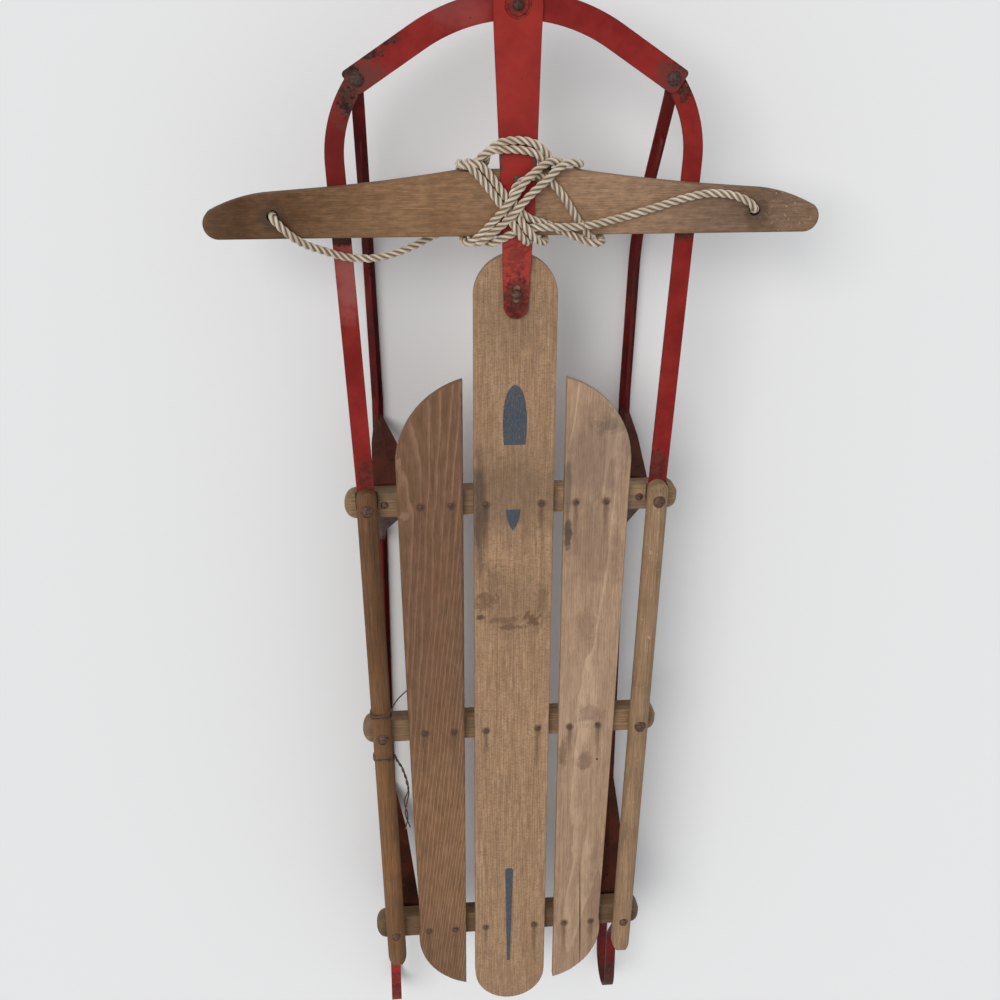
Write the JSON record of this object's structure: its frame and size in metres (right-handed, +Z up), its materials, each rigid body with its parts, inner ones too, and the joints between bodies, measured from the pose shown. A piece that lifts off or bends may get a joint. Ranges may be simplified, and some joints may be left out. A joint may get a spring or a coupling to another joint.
{
  "type": "runner sled",
  "caption": "Child's steerable coasting sled: wooden deck boards and side rails on steel runners, with a red steel front linkage, wooden steering bar and tow rope.",
  "frame": {"origin": "floor point under the middle of the sled's length and width, with the tow rope left out", "axes": "+X to the sled's right, +Y forward, +Z up"},
  "size_m": [0.6294, 1.318, 0.171],
  "materials": {
    "center_board_wood": "worn bare light brown wood with plain slate blue painted marks",
    "left_board_wood": "worn bare reddish brown wood",
    "right_board_wood": "worn bare stained brown wood",
    "beam_wood": "worn bare wood",
    "left_rail_wood": "darkened varnished wood, rubbed",
    "right_rail_wood": "worn bare light wood",
    "bar_wood": "worn bare wood, grain along the bar",
    "red_steel": "chipped deep red paint",
    "maroon_steel": "dull dark red paint, scuffed",
    "rusty_bolt_steel": "brown rusted steel",
    "rope_fibre": "off-white three-strand twisted rope, soiled"
  },
  "bodies": {
    "frame": {"slat_center": "center_board_wood", "slat_left": "left_board_wood", "slat_right": "right_board_wood", "beam_front": "beam_wood", "beam_middle": "beam_wood", "beam_rear": "beam_wood", "side_rail_left": "left_rail_wood", "side_rail_right": "right_rail_wood", "rail_bolts_left": "rusty_bolt_steel", "rail_bolts_right": "rusty_bolt_steel", "knee_bolt_left": "rusty_bolt_steel", "knee_bolt_right": "rusty_bolt_steel", "runner_left": "maroon_steel", "runner_right": "maroon_steel", "knee_front_left": "maroon_steel", "knee_front_right": "maroon_steel", "knee_rear_left": "maroon_steel", "knee_rear_right": "maroon_steel", "strap_bolt": "rusty_bolt_steel"},
    "steering": {"steering_strap": "red_steel", "steering_bar": "bar_wood", "bar_rivets": "rusty_bolt_steel", "front_pivot": "rusty_bolt_steel", "rope_lashing": "rope_fibre", "rope_span_left": "rope_fibre", "rope_span_right": "rope_fibre", "rope_knot_left": "rope_fibre", "rope_knot_right": "rope_fibre"},
    "bumper": {"bumper": "red_steel"},
    "arm_left": {"side_arm_left": "red_steel", "tip_rivet_left": "rusty_bolt_steel"},
    "arm_right": {"side_arm_right": "red_steel", "tip_rivet_right": "rusty_bolt_steel"},
    "nose_left": {"runner_nose_left": "maroon_steel"},
    "nose_right": {"runner_nose_right": "maroon_steel"}
  },
  "joints": [
    {"name": "steer", "type": "hinge", "parent": "frame", "child": "steering", "pos_m": [0, 0.3532, 0.138], "axis": [0, 0, 1], "range_deg": [-7, 7]},
    {"name": "bumper_swing", "type": "hinge", "parent": "steering", "child": "bumper", "pos_m": [0, 0.63456, 0.1295], "axis": [0, 0, 1], "range_deg": [-7.2, 7.2]},
    {"name": "arm_swing_left", "type": "hinge", "parent": "frame", "child": "arm_left", "pos_m": [-0.1625, 0.116, 0.125], "axis": [0, 0, 1], "range_deg": [-4.6, 4.6]},
    {"name": "arm_swing_right", "type": "hinge", "parent": "frame", "child": "arm_right", "pos_m": [0.1625, 0.116, 0.125], "axis": [0, 0, 1], "range_deg": [-4.6, 4.6]},
    {"name": "nose_flex_left", "type": "hinge", "parent": "frame", "child": "nose_left", "pos_m": [-0.147, 0.198, 0.008], "axis": [0, 0, 1], "range_deg": [-5.5, 5.5]},
    {"name": "nose_flex_right", "type": "hinge", "parent": "frame", "child": "nose_right", "pos_m": [0.147, 0.198, 0.008], "axis": [0, 0, 1], "range_deg": [-5.5, 5.5]}
  ],
  "couplings": [
    {"joint": "bumper_swing", "follows": "steer", "ratio": -1},
    {"joint": "arm_swing_left", "follows": "steer", "ratio": 0.6252},
    {"joint": "arm_swing_right", "follows": "steer", "ratio": 0.6252},
    {"joint": "nose_flex_left", "follows": "steer", "ratio": 0.7642},
    {"joint": "nose_flex_right", "follows": "steer", "ratio": 0.7642}
  ]
}
